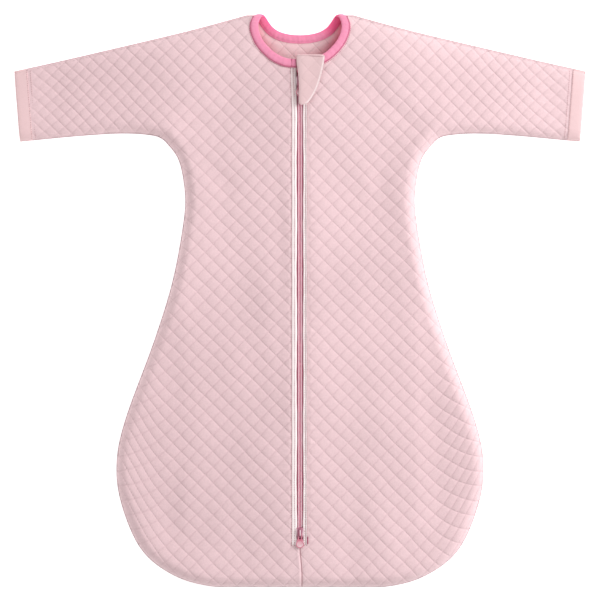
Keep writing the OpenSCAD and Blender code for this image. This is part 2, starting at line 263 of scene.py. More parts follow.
def front_top(x, y):
    """Height of the front's outer face."""
    out = np.abs(x)
    gap = seam_gap(x, y)
    along = np.clip((out - SPLIT_X) / (HALF_SPAN - SPLIT_X), 0, 1)
    crest = LIE - (LIE - CUFF_RISE) * np.sin(math.pi / 2 * along) - 2.4 * MM * bell(along, 0.78, 0.15)
    rise = np.clip((gap - 3 * MM) / ROLL, 0, 1)
    base = EDGE + (crest - EDGE) * np.sqrt(1 - (1 - rise) ** 2)
    sunk = ease(gap_to(LOWER, out, y), 4, 54) * (1 - bell(x, 0, 50 * MM))
    base -= 5.2 * MM * sunk * smoothstep((0.33 - y) / 0.06)
    soft = ease(gap, 0, 34) * calm(x, y)
    stitched = ease(gap, 0, 5) * (0.35 + 0.65 * ease(out, 8, 7))
    stitched = stitched * smoothstep((HALF_SPAN - 20 * MM - out) / (9 * MM))
    relief = 1.6 * MM * (quilting(x, y) - 0.8) * stitched
    near_zip = (out < 14 * MM) & (y > ZIP_LOW)
    beside_zip = np.where(near_zip, -0.5 * MM * bell(out, 10 * MM, 2 * MM), 0)
    wave = np.sin(2 * math.pi * y / (9 * MM) + 1.3 * np.sin(y * 41))
    pucker = 0.35 * MM * wave * np.exp(-np.abs(out - 13 * MM) / (5 * MM))
    from_seam = x - seam_x(y)
    seam = 0.5 * MM * bell(from_seam, -3 * MM, 2 * MM) - 0.9 * MM * bell(from_seam, 0, 2 * MM)
    seam = seam * (y < ZIP_LOW - 2 * MM)
    lumps = soft * (folds(x, y) + 1.5 * MM * ripple(x, y, 11))
    return base + lumps + relief + beside_zip + pucker * (y > ZIP_LOW) + seam


def front_fade(x, y):
    """How far the quilting shows: not along the zip, the neck and the cuffs' hems."""
    above = ease(y - ZIP_LOW, -4, 6)
    strip = ease(np.abs(x), 10, 4) * above
    neck = ease(gap_to(FRONT_NECK, np.abs(x), y), 2, 6)
    cuff = 0.35 + 0.65 * smoothstep((HALF_SPAN - 22 * MM - np.abs(x)) / (50 * MM))
    return np.maximum(strip, 1 - above) * neck * cuff


def front_inside(x, y):
    return np.maximum(front_top(x, y) - CLOTH, SEAM_Z + 0.1 * MM)


def back_outside(x, y):
    gap = seam_gap(x, y)
    lift = 1.9 * MM * (1 - ease(gap, 0, 13))
    relief = 0.9 * MM * (1 - quilting(x, y, 7)) * ease(gap, 0, 6)
    return 0.05 * MM + lift + relief


def back_inside(x, y):
    gap = seam_gap(x, y)
    relief = 0.9 * MM * (quilting(x, y, 7) - 1) * ease(gap, 0, 6)
    under_binding = 1 - ease(gap_to(BACK_NECK, np.abs(x), y), 3, 5)
    return SEAM_Z - 0.1 * MM + relief * (1 - under_binding) - 1.1 * MM * under_binding


# ---- meshes


def placed(name, data):
    """A new object in the scene."""
    thing = bpy.data.objects.new(name, data)
    bpy.context.scene.collection.objects.link(thing)
    return thing


def new_piece(name, points, faces, material):
    mesh = bpy.data.meshes.new(name)
    mesh.from_pydata([tuple(p) for p in np.asarray(points, float)], [], faces)
    mesh.materials.append(material)
    mesh.validate()
    mesh.polygons.foreach_set("use_smooth", [True] * len(mesh.polygons))
    return placed(name, mesh)


def zipper(lower, upper, place):
    """Triangles between two runs of vertices that both climb in place."""
    faces, i, j = [], 0, 0
    while i < len(lower) - 1 or j < len(upper) - 1:
        step_low = j == len(upper) - 1 or (i < len(lower) - 1 and place[lower[i + 1]] <= place[upper[j + 1]])
        if step_low:
            faces.append((lower[i], lower[i + 1], upper[j]))
            i += 1
        else:
            faces.append((lower[i], upper[j + 1], upper[j]))
            j += 1
    return faces


def region(first, last, rows, step):
    """A flat mesh between the curves first(r) and last(r): a square grid, with its ends on the curves.
    Gives points (place across, row) and faces."""
    place, row_of, runs = [], [], []
    for r in rows:
        a, b = first(r), last(r)
        low, high = math.ceil(a / step + 0.35), math.floor(b / step - 0.35)
        inner = [k * step for k in range(low, high + 1)]
        start = len(place)
        place += [a] + inner + [b]
        row_of += [r] * (len(inner) + 2)
        runs.append((start, low, max(high, low - 1)))
    faces = []
    for (s0, low0, high0), (s1, low1, high1) in zip(runs[:-1], runs[1:]):
        low, high = max(low0, low1), min(high0, high1)
        end0, end1 = s0 + high0 - low0 + 2, s1 + high1 - low1 + 2
        if high < low:
            faces += zipper(list(range(s0, end0 + 1)), list(range(s1, end1 + 1)), place)
            continue
        a0, a1 = s0 + 1 + low - low0, s1 + 1 + low - low1
        faces += zipper(list(range(s0, a0 + 1)), list(range(s1, a1 + 1)), place)
        faces += [(a0 + k, a0 + k + 1, a1 + k + 1, a1 + k) for k in range(high - low)]
        b0, b1 = a0 + high - low, a1 + high - low
        faces += zipper(list(range(b0, end0 + 1)), list(range(b1, end1 + 1)), place)
    return np.array(place), np.array(row_of), faces


def open_edges(faces):
    """The edges that one face uses, in that face's direction."""
    seen = {}
    for face in faces:
        for a, b in zip(face, face[1:] + face[:1]):
            if (b, a) in seen:
                del seen[(b, a)]
            else:
                seen[(a, b)] = True
    return list(seen)


def slope_normals(height, x, y, sign):
    d = 0.7 * MM
    nx = (height(x - d, y) - height(x + d, y)) / (2 * d)
    ny = (height(x, y - d) - height(x, y + d)) / (2 * d)
    return sign * unit(np.stack([nx, ny, np.ones_like(nx)], 1))


def mark(piece, name, *columns):
    """Stores three numbers for each vertex, for the material to read. One column stands for all three."""
    values = np.stack((columns * 3)[:3], 1).astype(float)
    piece.data.attributes.new(name, "FLOAT_VECTOR", "POINT").data.foreach_set("vector", values.ravel())


def cloth(name, x, y, faces, upper, lower, material, sign=1, seed=3, fade=None):
    """A closed sheet of cloth between two height functions, over a flat mesh."""
    if sign < 0:
        x = -x
        faces = [tuple(reversed(f)) for f in faces]
    n = len(x)
    points = join([np.stack([x, y, height(x, y)], 1) for height in (upper, lower)])
    under = [tuple(i + n for i in reversed(f)) for f in faces]
    rim = [(a, a + n, b + n, b) for a, b in open_edges(faces)]
    piece = new_piece(name, points, faces + under + rim, material)
    normals = join([slope_normals(upper, x, y, 1), slope_normals(lower, x, y, -1)])
    piece.data.normals_split_custom_set_from_vertices(normals.tolist())
    shown = np.ones(n) if fade is None else fade(x, y)
    mark(piece, "quilt", *(np.tile(v, 2) for v in (*quilt_place(x, y, seed), shown)))
    # Distances to the centre seam and the outer edges, which the material uses for painted highlight and painted
    # shade.
    from_seam = np.where(y < ZIP_LOW - 1 * MM, (x - seam_x(y)) / MM, 50)
    from_edge = np.minimum(gap_to(LOWER, np.abs(x), y), gap_to(SHOULDER, np.abs(x), y)) / MM
    mark(piece, "seams", *(np.tile(v, 2) for v in (from_seam, from_edge, 0 * x)))
    return piece


def on_curve(line, value, key, other):
    return float(np.interp(value, line[:, key], line[:, other]))


def outer_x(y):
    """Right edge of the body's cloth: the side seam, then the split from the sleeve, then the shoulder."""
    if y < WAIST_Y:
        return on_curve(SIDE, y, 1, 0)
    top = on_curve(SHOULDER[::-1], SPLIT_X, 0, 1)
    if y < top:
        return SPLIT_X
    return on_curve(SHOULDER[np.argsort(SHOULDER[:, 1])], y, 1, 0)


def front_inner_x(y, edge, sign):
    if y < ZIP_LOW:
        return 0.05 * MM + sign * seam_x(y)
    if y < FRONT_NECK[0, 1]:
        return edge
    return max(on_curve(FRONT_NECK, y, 1, 0), edge)


def seam_x(y):
    """The centre front seam drifts to the right on its way down to the hem."""
    return 2.6 * MM * ease(ZIP_LOW - y, 0, 40)


def row_values(low, high, step, extra=()):
    first, last = math.ceil(low / step + 0.3), math.floor(high / step - 0.3)
    return sorted([low, high, *extra] + [k * step for k in range(first, last + 1)])


def sleeve_under(x):
    """Lower edge of the sleeve's cloth at x, with the armpit."""
    return on_curve(ARMPIT, x, 0, 1)


def sleeve_over(x):
    return on_curve(SHOULDER[::-1], x, 0, 1)


def across_sleeve(x, share):
    """Places at x, a share of the way from the sleeve's lower edge to its upper edge."""
    x = np.minimum(x, SLEEVE_END)
    return np.array([sleeve_under(a) * (1 - k) + sleeve_over(a) * k for a, k in zip(x, share)])


def cuff_line_y(x, back):
    """Where the slanted line, back from the cuff's edge, stands at x: the sleeve's cloth is above it."""
    t = (x + back - CUFF_FOOT[0]) / (CUFF_HEAD[0] - CUFF_FOOT[0])
    return CUFF_FOOT[1] + t * (CUFF_HEAD[1] - CUFF_FOOT[1])


def sweep(name, path, across, up, section, material):
    """A solid along path. section holds (across, up) offsets, the same for each step or one list for each."""
    n = len(path)
    sections = np.array(section if np.ndim(section) == 3 else [section] * n)
    points = path[:, None] + across[:, None] * sections[:, :, :1] + up[:, None] * sections[:, :, 1:]
    return new_piece(name, points.reshape(-1, 3), tube_faces(n, sections.shape[1]), material)


def resample(path, spacing):
    """Points at equal steps along a path."""
    path = np.asarray(path, float)
    along = join([[0], np.cumsum(np.linalg.norm(np.diff(path, axis=0), axis=1))])
    count = max(2, int(round(along[-1] / spacing)) + 1)
    at = np.linspace(0, along[-1], count)
    return np.stack([np.interp(at, along, path[:, k]) for k in range(path.shape[1])], 1)


def stitches(name, paths, material, pitch=3.0 * MM, length=2.3 * MM, radius=0.32 * MM):
    """Rows of stitches: short rounded threads that dip into the cloth at their ends."""
    ring = 6
    stations = np.array([-1, -0.82, -0.35, 0.35, 0.82, 1])
    width = np.array([0.35, 0.8, 1, 1, 0.8, 0.35]) * radius
    dip = np.array([-1.6, -0.6, 0, 0, -0.6, -1.6]) * radius
    tube = tube_faces(len(stations), ring)
    shape = [f[:1] + f[:0:-1] for f in tube[:-2]] + [f[::-1] for f in tube[-2:]]
    points, faces = [], []
    for path in paths:
        p = resample(path, pitch)
        tangent = unit(np.gradient(p, axis=0))
        side = unit(np.cross(tangent, [0, 0, 1]))
        up = np.cross(side, tangent)
        for c, t, s, u in zip(p, tangent, side, up):
            base = len(points)
            for k, w, h in zip(stations, width, dip):
                for a in np.arange(ring) * 2 * math.pi / ring:
                    points.append(c + t * k * length / 2 + s * w * math.cos(a) + u * (h + w * math.sin(a)))
            faces += [tuple(base + i for i in f) for f in shape]
    return new_piece(name, points, faces, material)


def on_front(line, lift=0.25 * MM):
    line = np.asarray(line, float)
    return np.stack([line[:, 0], line[:, 1], front_top(line[:, 0], line[:, 1]) + lift], 1)


def plan_area(x, y, faces):
    """Area of a flat mesh."""
    total = 0.0
    for face in faces:
        px, py = x[list(face)], y[list(face)]
        total += abs(np.dot(px, np.roll(py, -1)) - np.dot(py, np.roll(px, -1))) / 2
    return float(total)


def kept(piece, body, nodes):
    """Puts a finished piece on its body, in place of its CAD nodes."""
    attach(piece, body)
    if nodes:
        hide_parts(*nodes)
    return piece


# ---- materials


def fill(node, values):
    """Sets a node's inputs."""
    for key, value in values.items():
        node.inputs[key].default_value = value


class Nodes:
    """Short ways to add nodes to one material."""

    def __init__(self, name):
        self.material = bpy.data.materials.new(name)
        self.material.use_nodes = True
        self.tree = self.material.node_tree
        self.shader = self.tree.nodes["Principled BSDF"]
        self.place = self.tree.nodes.new("ShaderNodeTexCoord").outputs["Object"]

    def add(self, kind, **values):
        node = self.tree.nodes.new(kind)
        for key, value in values.items():
            setattr(node, key, value)
        return node

    def link(self, a, b):
        self.tree.links.new(a, b)

    def noise(self, scale, detail=3.0, rough=0.5):
        node = self.add("ShaderNodeTexNoise")
        fill(node, {"Scale": scale, "Detail": detail, "Roughness": rough})
        self.link(self.place, node.inputs["Vector"])
        return node.outputs["Fac"]

    def math(self, operation, a, b=0.0):
        node = self.add("ShaderNodeMath", operation=operation)
        for socket, value in zip(node.inputs, (a, b)):
            if isinstance(value, (int, float)):
                socket.default_value = value
            else:
                self.link(value, socket)
        return node.outputs[0]

    def ramp(self, value, stops):
        node = self.add("ShaderNodeValToRGB")
        elements = node.color_ramp.elements
        while len(elements) < len(stops):
            elements.new(0.5)
        for element, (at, colour) in zip(elements, stops):
            element.position = at
            element.color = (*colour, 1)
        self.link(value, node.inputs["Fac"])
        return node.outputs["Color"]

    def bump(self, height, strength, distance, under=None):
        node = self.add("ShaderNodeBump")
        fill(node, {"Strength": strength, "Distance": distance})
        self.link(height, node.inputs["Height"])
        if under:
            self.link(under, node.inputs["Normal"])
        return node.outputs["Normal"]

    def marks(self, name):
        """The three numbers stored for each vertex under a name."""
        node = self.add("ShaderNodeAttribute", attribute_name=name)
        split = self.add("ShaderNodeSeparateXYZ")
        self.link(node.outputs["Vector"], split.inputs[0])
        return split.outputs[0], split.outputs[1], split.outputs[2]

    def smooth(self, value, start, end, low=0.0, high=1.0):
        """value taken smoothly from between start and end to between low and high."""
        node = self.add("ShaderNodeMapRange", interpolation_type="SMOOTHSTEP")
        fill(node, {"From Min": start, "From Max": end, "To Min": low, "To Max": high})
        self.link(value, node.inputs["Value"])
        return node.outputs["Result"]

    def band(self, value, start, end, amount):
        """amount where value lies between start and end, falling to 0 within 0.6 on either side."""
        middle, half = (start + end) / 2, (end - start) / 2
        away = self.math("ABSOLUTE", self.math("SUBTRACT", value, middle))
        return self.smooth(away, half, half + 0.6, amount, 0)

    def near_whole(self, value, start, end):
        """0 where value is whole, rising to 1 from start to end away from it."""
        return self.smooth(self.math("PINGPONG", value, 0.5), start, end)

    def mixed(self, amount, first, second):
        node = self.add("ShaderNodeMix", data_type="RGBA")
        self.link(amount, node.inputs["Factor"])
        self.link(first, node.inputs["A"])
        node.inputs["B"].default_value = (*second, 1)
        return node.outputs["Result"]

    def knit(self, wale):
        """Height of a fine plain knit: columns of small slanted stitches, wale metres apart."""
        split = self.add("ShaderNodeSeparateXYZ")
        self.link(self.place, split.inputs[0])
        across = self.math("MULTIPLY", split.outputs[0], 1 / wale)
        along = self.math("MULTIPLY", split.outputs[1], 1.25 / wale)
        slant = self.math("PINGPONG", across, 0.5)
        row = self.math("SINE", self.math("MULTIPLY", self.math("ADD", along, slant), 2 * math.pi))
        column = self.math("SINE", self.math("MULTIPLY", across, 2 * math.pi))
        return self.math("ADD", self.math("MULTIPLY", row, 0.5), self.math("MULTIPLY", column, 0.35))


def rgb(r, g, b):
    """A colour in sRGB, 0 to 255, as the linear values that nodes use."""
    shares = (r / 255, g / 255, b / 255)
    return tuple((c / 12.92 if c <= 0.04045 else ((c + 0.055) / 1.055) ** 2.4) for c in shares)


def tinted(colour, k):
    return tuple(min(1.0, c * k) for c in colour)


def cloth_material(name, colour, wale=1.15 * MM, bump=0.35, sheen=0.2, variation=0.05,
                   line=None, deep=None, edge=None):
    """A fine knit. line is the colour of the painted shade along its quilting's stitched lines.
    deep and edge are the colours that the first two numbers of the painted light mark bring in: painted shade,
    and on the flap a painted highlight."""
    m = Nodes(name)
    patches = m.noise(9.0, 4.0)
    fuzz = m.noise(1100.0, 2.0, 0.7)
    grain = m.noise(400.0, 3.0, 0.75)
    speckle = m.math("ADD", m.math("MULTIPLY", fuzz, 0.3), m.math("MULTIPLY", grain, 0.4))
    blend = m.math("ADD", m.math("MULTIPLY", patches, 0.3), speckle)
    dark, light = tinted(colour, 1 - variation), tinted(colour, 1 + variation)
    shade = m.ramp(blend, [(0.32, dark), (0.5, colour), (0.7, light)])
    normal = m.bump(m.knit(wale), bump, 0.12 * MM)
    normal = m.bump(fuzz, bump * 0.8, 0.2 * MM, normal)
    if line:
        a, b, fade = m.marks("quilt")
        groove_a, groove_b = m.near_whole(a, 0.0, 0.08), m.near_whole(b, 0.0, 0.11)
        height = m.math("MULTIPLY", m.math("MULTIPLY", groove_a, groove_b), fade)
        normal = m.bump(height, 0.4, 0.8 * MM, normal)
        # Painted shade: the quilting's stitched lines are darkened towards the line colour, more along one
        # family of lines than the other.
        thin_a = m.math("SUBTRACT", 1.0, m.near_whole(a, 0.01, 0.07))
        thin_b = m.math("SUBTRACT", 1.0, m.near_whole(b, 0.0, 0.11))
        amount = m.math("MAXIMUM", m.math("MULTIPLY", thin_a, 0.26), m.math("MULTIPLY", thin_b, 0.2))
        shade = m.mixed(m.math("MULTIPLY", amount, fade), shade, line)
        # Painted highlight: a thin lighter strip below and left of each line of one family.
        lit = m.math("SUBTRACT", 1.0, m.near_whole(m.math("ADD", a, 0.09), 0.0, 0.06))
        lit = m.math("MULTIPLY", m.math("MULTIPLY", lit, 0.2), fade)
        shade = m.mixed(lit, shade, tinted(colour, 1.14))
        beside, rim, _ = m.marks("seams")
        # Painted highlight on a strip beside the centre front seam, and painted shade along the seam itself.
        shade = m.mixed(m.band(beside, -2.6, -0.5, 0.8), shade, tinted(colour, 1.12))
        shade = m.mixed(m.band(beside, -0.4, 0.4, 0.9), shade, rgb(176, 126, 134))
        # Painted shade along the cloth's outer edges.
        shade = m.mixed(m.band(rim, -3.0, 0.5, 0.5), shade, tinted(line, 0.8))
    if deep:
        # Painted shade, and on the flap a painted highlight, brought in by the mark's first two numbers.
        first, second, _ = m.marks("painted_light")
        shade = m.mixed(first, shade, deep)
        if edge:
            shade = m.mixed(second, shade, edge)
    m.link(shade, m.shader.inputs["Base Color"])
    m.link(normal, m.shader.inputs["Normal"])
    fill(m.shader, {"Roughness": 0.92, "Sheen Weight": sheen, "Sheen Roughness": 0.5,
                    "Specular IOR Level": 0.2})
    return m.material


def thread_material(name, colour):
    m = Nodes(name)
    wave = m.add("ShaderNodeTexWave")
    fill(wave, {"Scale": 900, "Distortion": 1.5})
    m.link(m.place, wave.inputs["Vector"])
    shade = m.ramp(m.noise(400.0), [(0.3, tinted(colour, 0.85)), (0.7, tinted(colour, 1.1))])
    m.link(shade, m.shader.inputs["Base Color"])
    m.link(m.bump(wave.outputs["Fac"], 0.5, 0.1 * MM), m.shader.inputs["Normal"])
    fill(m.shader, {"Roughness": 0.6, "Sheen Weight": 0.2})
    return m.material


def gloss_material(name, colour, rough=0.28, clear=0.0, coat=0.3, rim=None):
    m = Nodes(name)
    wear = m.noise(260.0, 5.0, 0.6)
    shade = m.ramp(wear, [(0.35, tinted(colour, 0.9)), (0.65, tinted(colour, 1.08))])
    # rim is a colour brought in by the mark rim: a painted highlight on the coil and the slider, the pull's own
    # darker rim.
    if rim:
        shade = m.mixed(m.marks("rim")[0], shade, rim)
    m.link(shade, m.shader.inputs["Base Color"])
    m.link(m.math("ADD", rough, m.math("MULTIPLY", wear, 0.12)), m.shader.inputs["Roughness"])
    m.link(m.bump(wear, 0.12, 0.1 * MM), m.shader.inputs["Normal"])
    fill(m.shader, {"Coat Weight": coat, "Transmission Weight": clear})
    return m.material


# QUILTED, INSIDE and FLAP: the line colour is painted shade along the quilting's stitched lines.
QUILTED = cloth_material("quilted_knit", rgb(231, 200, 204), line=rgb(202, 168, 174), variation=0.12)
# INSIDE: deep is painted rose shade inside the neck, the colour that light bounced off the binding gives the
# shade.
INSIDE = cloth_material("inner_knit", rgb(237, 203, 206), line=rgb(204, 168, 172),
                        deep=rgb(246, 128, 156))
# FLAP: a darker copy of the quilted knit, painted shade; deep is a painted highlight along its right edge.
FLAP = cloth_material("flap_knit", rgb(220, 189, 191), line=rgb(196, 160, 164), bump=0.25,
                      deep=rgb(255, 246, 246))
CUFF = cloth_material("cuff_knit", rgb(234, 200, 202), bump=0.25)
LINING = cloth_material("lining_knit", rgb(232, 196, 199), bump=0.25)
# PALE: the front's knit folded over beside the zip, near white as a painted highlight; deep is painted shade in
# its grooves.
PALE = cloth_material("placket_knit", rgb(255, 244, 244), bump=0.2, variation=0.03,
                      deep=rgb(172, 122, 126))
# BINDING: deep is painted rose shade, edge is painted shade along its stitched outer edge.
BINDING = cloth_material("binding_jersey", rgb(241, 150, 182), wale=0.9 * MM, bump=0.45, sheen=0.35,
                         variation=0.07, deep=rgb(255, 104, 154), edge=rgb(186, 76, 112))
TAPE = cloth_material("zip_tape_weave", rgb(178, 56, 92), wale=0.7 * MM, bump=0.6, sheen=0.1)
# COIL: rim is a painted highlight along the tops of the loops.
COIL = gloss_material("coil_nylon", rgb(246, 134, 168), rough=0.2, rim=rgb(255, 226, 234))
THREAD = thread_material("thread_rose", rgb(198, 154, 158))
THREAD_DEEP = thread_material("thread_deep", rgb(196, 106, 132))
# SLIDER: rim is a painted highlight along its edges and the crown.
SLIDER = gloss_material("slider_enamel", rgb(176, 100, 126), rough=0.14, coat=0.9,
                        rim=rgb(252, 232, 236))
PULL = gloss_material("pull_resin", rgb(254, 216, 222), rough=0.12, clear=0.1, coat=0.7,
                      rim=rgb(222, 130, 152))
STEEL = gloss_material("spring_steel", rgb(190, 190, 192), rough=0.3)

# ---- body and sleeves

TIP_Y = 371 * MM
SIDES = (("right", 1), ("left", -1))


def body_rows(low, high, extra=()):
    fine = [low + k * GRID / 4 for k in (0.5, 1, 2, 3)]
    return sorted(set(row_values(low, high, GRID, list(extra) + fine)))


def make_front(side, sign):
    edge = abs(STITCH_X[side]) - 0.4 * MM
    rows = body_rows(-HALF_LENGTH + 0.2 * MM, TIP_Y, [ZIP_LOW - 0.05 * MM, ZIP_LOW + 0.05 * MM])
    x, y, faces = region(lambda r: front_inner_x(r, edge, sign), outer_x, rows, GRID)
    piece = cloth(f"front_{side}_cloth", x, y, faces, front_top, front_inside, QUILTED, sign,
                  fade=front_fade)
    kept(piece, "bag", [f"front_{side}_panel"])
    return piece, 1.03 * plan_area(x, y, faces)


def make_back():
    def inner(r):
        return 0.0 if r < BACK_NECK[0, 1] else on_curve(BACK_NECK, r, 1, 0)
    step = GRID * 1.25
    rows = body_rows(-HALF_LENGTH + 0.2 * MM, TIP_Y, [BACK_NECK[0, 1]])
    x, y, faces = region(inner, outer_x, rows, step)
    n = len(x)
    centre = {i: i for i in range(n) if x[i] < 1e-9}
    twin = np.array([centre.get(i, i + n) for i in range(n)])
    both = faces + [tuple(int(twin[i]) for i in reversed(f)) for f in faces]
    used = sorted({i for f in both for i in f})
    renumber = {old: new for new, old in enumerate(used)}
    both = [tuple(renumber[i] for i in f) for f in both]
    x2, y2 = join([x, -x])[used], join([y, y])[used]
    piece = cloth("back_cloth", x2, y2, both, back_inside, back_outside, INSIDE, seed=7)
    # Painted rose shade on the back cloth just inside the front neck, stronger on the right.
    near = bell(np.maximum(gap_to(FRONT_NECK, np.abs(x2), y2) - 9 * MM, 0), 0, 8 * MM)
    near = np.tile(np.where(x2 > 0, 0.9, 0.4) * near * smoothstep((y2 - 0.308) / 0.03), 2)
    mark(piece, "painted_light", near)
    kept(piece, "bag", ["back_panel"])
    1.01 * plan_area(x2, y2, both)


def make_sleeve(side, sign):
    back = CUFF_HEM_W - 0.3 * MM
    last = CUFF_HEAD[0] - back - 0.05 * MM
    columns = row_values(SPLIT_X, last, GRID, [SPLIT_X + 0.5 * MM, CUFF_FOOT[0] - back])
    y, x, faces = region(lambda c: max(sleeve_under(c), cuff_line_y(c, back)), sleeve_over, columns, GRID)
    faces = [tuple(reversed(f)) for f in faces]
    for part, upper, lower in (("front", front_top, front_inside), ("back", back_inside, back_outside)):
        seed, fade = (3, front_fade) if part == "front" else (7, None)
        piece = cloth(f"{side}_sleeve_{part}_cloth", x, y, faces, upper, lower, QUILTED, sign, seed, fade)
        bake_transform(piece)
        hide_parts(f"{side}_sleeve_{part}")
        1.02 * plan_area(x, y, faces)


def make_cuff(side, sign):
    """The turned hem: a flattened ring of two layers, nearly without quilting, with a rounded edge."""
    around = 64
    t = (1 - np.cos(np.linspace(0, math.pi, around))) / 2
    stations = [(-17, 0.2), (-16.4, 0.55), (-14, 0.7), (-10, 0.65), (-6, 0.75), (-2.5, 0.6), (-0.8, 0.2),
                (0, -0.6)]  # back from the cuff's edge and puffed out, in millimetres
    loops = []

    def layer(offset, puff, inset):
        foot, head = CUFF_FOOT + [offset * MM, 0], CUFF_HEAD + [offset * MM, 0]
        u = inset + (1 - 2 * inset) * t
        px = foot[0] + (head[0] - foot[0]) * u
        py = across_sleeve(px, u)
        return px, py, front_top(px, py) + puff * MM + 0.25 * MM * np.sin(py * 700 + offset)

    def add_loop(px, py, top, low):
        loops.append([join([a, b[::-1]]) for a, b in ((px, px), (py, py), (top, low))])

    for offset, puff in stations:
        px, py, top = layer(offset, puff, 0)
        low = 0.1 * MM + 1.6 * MM * (1 - ease(np.minimum(py - py[0], py[-1] - py), 0, 9))
        add_loop(px, py, top, low + (0.5 * MM if offset > -1 else 0))
    for offset, _ in reversed(stations[:-1]):
        px, py, top = layer(offset, -3.6, 0.035)
        add_loop(px, py, np.maximum(top, 3.6 * MM), np.full(around, 3.3 * MM))
    m = 2 * around
    points = join([np.stack([sign * a, b, c], 1) for a, b, c in loops])
    count = len(loops)
    faces = []
    for k in range(count):
        nxt = (k + 1) % count
        for i in range(m):
            j = (i + 1) % m
            face = (k * m + i, nxt * m + i, nxt * m + j, k * m + j)
            faces.append(face if sign > 0 else tuple(reversed(face)))
    piece = new_piece(f"{side}_cuff_hem_cloth", points, faces, CUFF)
    kept(piece, f"{side}_sleeve", [f"{side}_cuff_hem"])
    rows = []
    for offset in (-16.0, -20.6):
        u = np.linspace(0.03, 0.97, 60)
        px = CUFF_FOOT[0] + offset * MM + (CUFF_HEAD[0] - CUFF_FOOT[0]) * u
        py = across_sleeve(px, u)
        lift = (0.75 if offset > -17 else 0.15) * MM
        rows.append(np.stack([sign * px, py, front_top(px, py) + lift], 1))
    thread = stitches(f"{side}_cuff_stitches", rows, THREAD)
    kept(thread, f"{side}_sleeve", [f"{side}_cuff_stitching"])


# ---- neck binding

BINDING_ROUTE = np.array([
    (0, 339.6, 1.9, -90), (14, 340.6, 1.9, -84), (28, 344.3, 1.9, -68), (38.5, 350.8, 1.9, -50),
    (45, 358.7, 1.9, -33), (49.5, 366, 2.4, -18), (52, 369.4, 4.4, -8), (54, 369.9, 8.4, 0),
    (56.6, 367.5, 12.4, 0), (59.4, 360, 17, -2), (59.2, 350, 20.8, -12), (54.6, 337.2, 23.8, -28),
    (45.3, 324.8, 25.6, -44), (32.6, 314.4, 26.6, -56), (18.5, 308.4, 26.8, -76), (5, 307, 26.8, -90)])


def binding_line():
    """Points and width directions from the zip's left, round the back, to its right."""
    half = curve(BINDING_ROUTE, 14)
    half[:, 3] /= MM
    left = half[:0:-1].copy()
    left[:, 0] *= -1
    left[:, 3] = 180 - left[:, 3]
    line = join([left, half])
    angle = np.radians(line[:, 3])
    across = np.stack([np.cos(angle), np.sin(angle), 0 * angle], 1)
    path = line[:, :3]
    return path, across, unit(np.cross(across, np.gradient(path, axis=0)))


def make_binding():
    """A folded band with a rounded free edge and a stitched edge, over the raw edge of the neck."""
    path, across, up = binding_line()
    half_w, half_t = 5.6 * MM, 2.0 * MM
    c, s = circle(32)
    px, pz = squared(c, 0.6), squared(s, 0.85)
    groove = bell(px, 0.7, 0.16)
    facing = np.where(up[:, 2] > 0, 1, -1)
    sections = []
    for k, face in enumerate(facing):
        crown = 0.35 * MM * (1 - px**2) * math.sin(k * 0.7) * math.sin(k * 0.31)
        lift = np.where(pz * face > 0, crown - 0.7 * MM * groove, 0) * face
        sections.append(np.stack([px * half_w, pz * half_t + lift], 1)[::-1])
    piece = sweep("neck_binding_band", path, across, up, sections, BINDING)
    front = path[:, 2] > 11 * MM
    # Painted shade on the band: its low parts near the shoulders, its inner face, its underside and the back's
    # ends, fully on the right and half on the left.
    steep = bell(path[:, 2], 6 * MM, 4.5 * MM)
    inner = smoothstep((-px - 0.2) / 0.9)[::-1]
    under = smoothstep((-pz[::-1][None] * facing[:, None] - 0.1) / 0.6)
    shaded = ease(np.abs(path[:, 0]), 27, 20) * (path[:, 2] < 10 * MM)
    shaded *= np.where(path[:, 0] > 0, 1, 0.5)
    painted_shade = steep[:, None] * 0.5 * (0.4 + inner[None]) + shaded[:, None] + under * 0.8 + inner[None] * 0.12
    painted_shade = np.clip(painted_shade, 0, 1).ravel()
    # Painted shade along the outer edge of the band's front part.
    edge_shade = np.tile((0.8 * bell(px, 0.9, 0.12))[::-1], len(path)) * np.repeat(front, len(px))
    mark(piece, "painted_light", painted_shade, edge_shade, painted_shade)
    kept(piece, "bag", ["neck_binding"])
    length = float(np.linalg.norm(np.diff(path, axis=0), axis=1).sum())
    edge = path + across * half_w * 0.7 + up * facing[:, None] * (half_t - 0.55 * MM)
    rows = [edge[front & (path[:, 0] < 0)], edge[front & (path[:, 0] > 0)]]
    outside = [p for p in FRONT_NECK if p[0] > 8 * MM and p[1] < 362 * MM]
    for s in (-1, 1):
        rows.append(on_front([(s * (p[0] + 1.9 * MM), p[1] - 1.9 * MM) for p in outside], 0.05 * MM))
    thread = stitches("neck_binding_stitches", rows, THREAD_DEEP, pitch=2.6 * MM, radius=0.28 * MM)
    kept(thread, "bag", ["neck_binding_stitching"])
    tacks = [np.array([(x, 302.2, 28.2), (x, 312, 28.6)]) * MM for x in (-11.2, -10.5, -5.8, -5.1)]
    tack = stitches("neck_bartack_thread", tacks, THREAD_DEEP, pitch=1.5 * MM, length=1.6 * MM,
                    radius=0.36 * MM)
    kept(tack, "bag", ["neck_bartack"])


# ---- zip


def placket_drift(y):
    """How far the left side of the opening is drawn to the left towards the neck."""
    return -2.2 * MM * smoothstep((y - 0.235) / 0.075)


